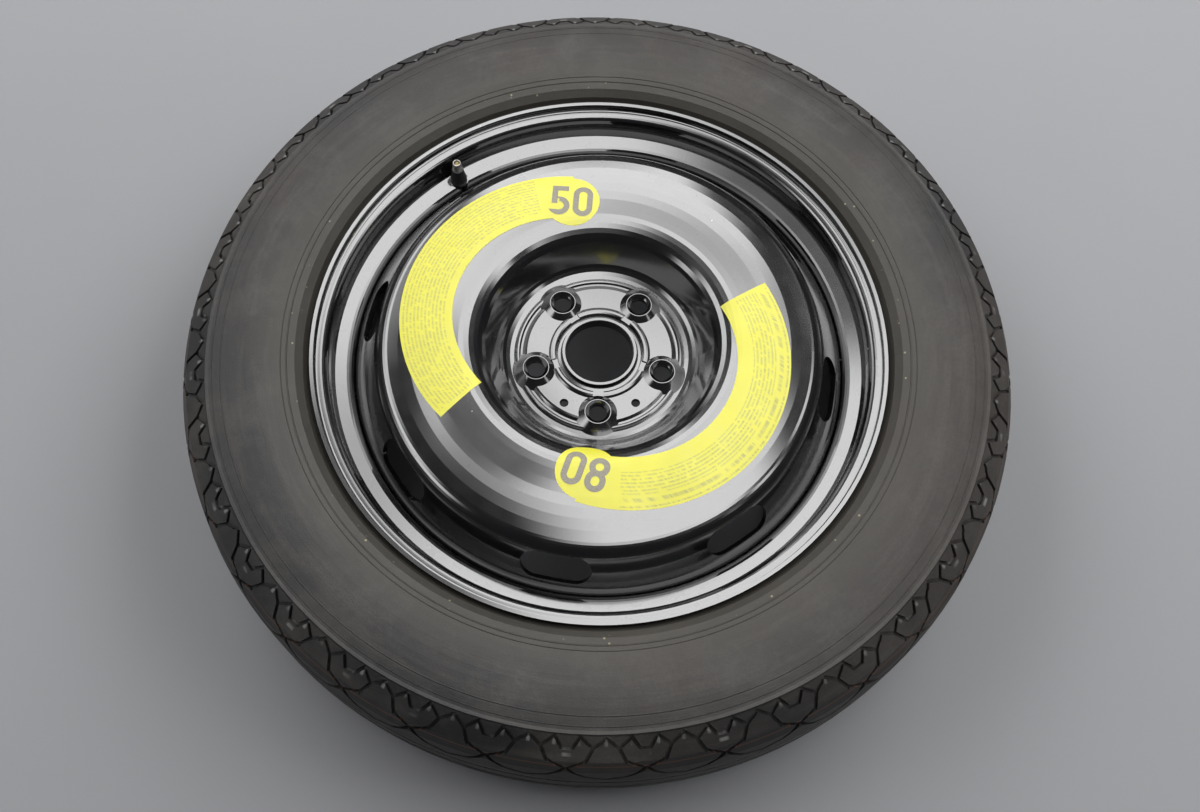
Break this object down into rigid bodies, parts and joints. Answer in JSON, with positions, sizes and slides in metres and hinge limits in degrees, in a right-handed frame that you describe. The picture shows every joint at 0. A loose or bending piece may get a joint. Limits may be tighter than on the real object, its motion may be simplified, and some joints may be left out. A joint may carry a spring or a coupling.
{
  "type": "space saver spare wheel",
  "caption": "Temporary spare wheel: a narrow tyre on a black pressed steel rim and vented disc with bolt holes, a snap-in valve and two yellow speed labels.",
  "frame": {"origin": "centre of the wheel, on its axis at the middle plane of the rim and tyre", "axes": "+Z along the wheel's axis towards the outboard face, which lies up; the picture looks down from the -Y side with +X to the right"},
  "size_m": [0.7038, 0.7038, 0.145],
  "materials": {
    "tyre_rubber": "dusty matt rubber with moulded grooves",
    "black_paint": "gloss black dip paint on steel",
    "valve_rubber": "satin moulded rubber",
    "valve_metal": "dull plated metal",
    "brass": "machined brass",
    "gasket": "red sealing ring",
    "spring_steel": "drawn steel wire",
    "label_yellow": "printed fluorescent yellow film",
    "label_print": "grey printing ink"
  },
  "bodies": {
    "wheel": {"tyre": "tyre_rubber", "rim": "black_paint", "wheel_disc": "black_paint", "weld_beads": "black_paint", "valve_body": "valve_rubber", "valve_insert": "valve_metal", "core_nut": "brass", "core_barrel": "brass", "core_gasket": "gasket", "core_spring": "spring_steel", "label_50": "label_yellow", "label_80": "label_yellow", "label_figures": "label_print"},
    "core_plunger": {"core_pin": "brass", "pin_cup": "brass", "cup_seal": "valve_rubber"}
  },
  "joints": [
    {"name": "valve_pin_press", "type": "slide", "parent": "wheel", "child": "core_plunger", "axis": [0, 0, -1], "range_m": [0, 0.0015], "stiffness_N_per_m": 400, "springref_m": -0.001, "deforming": ["core_spring"]}
  ]
}
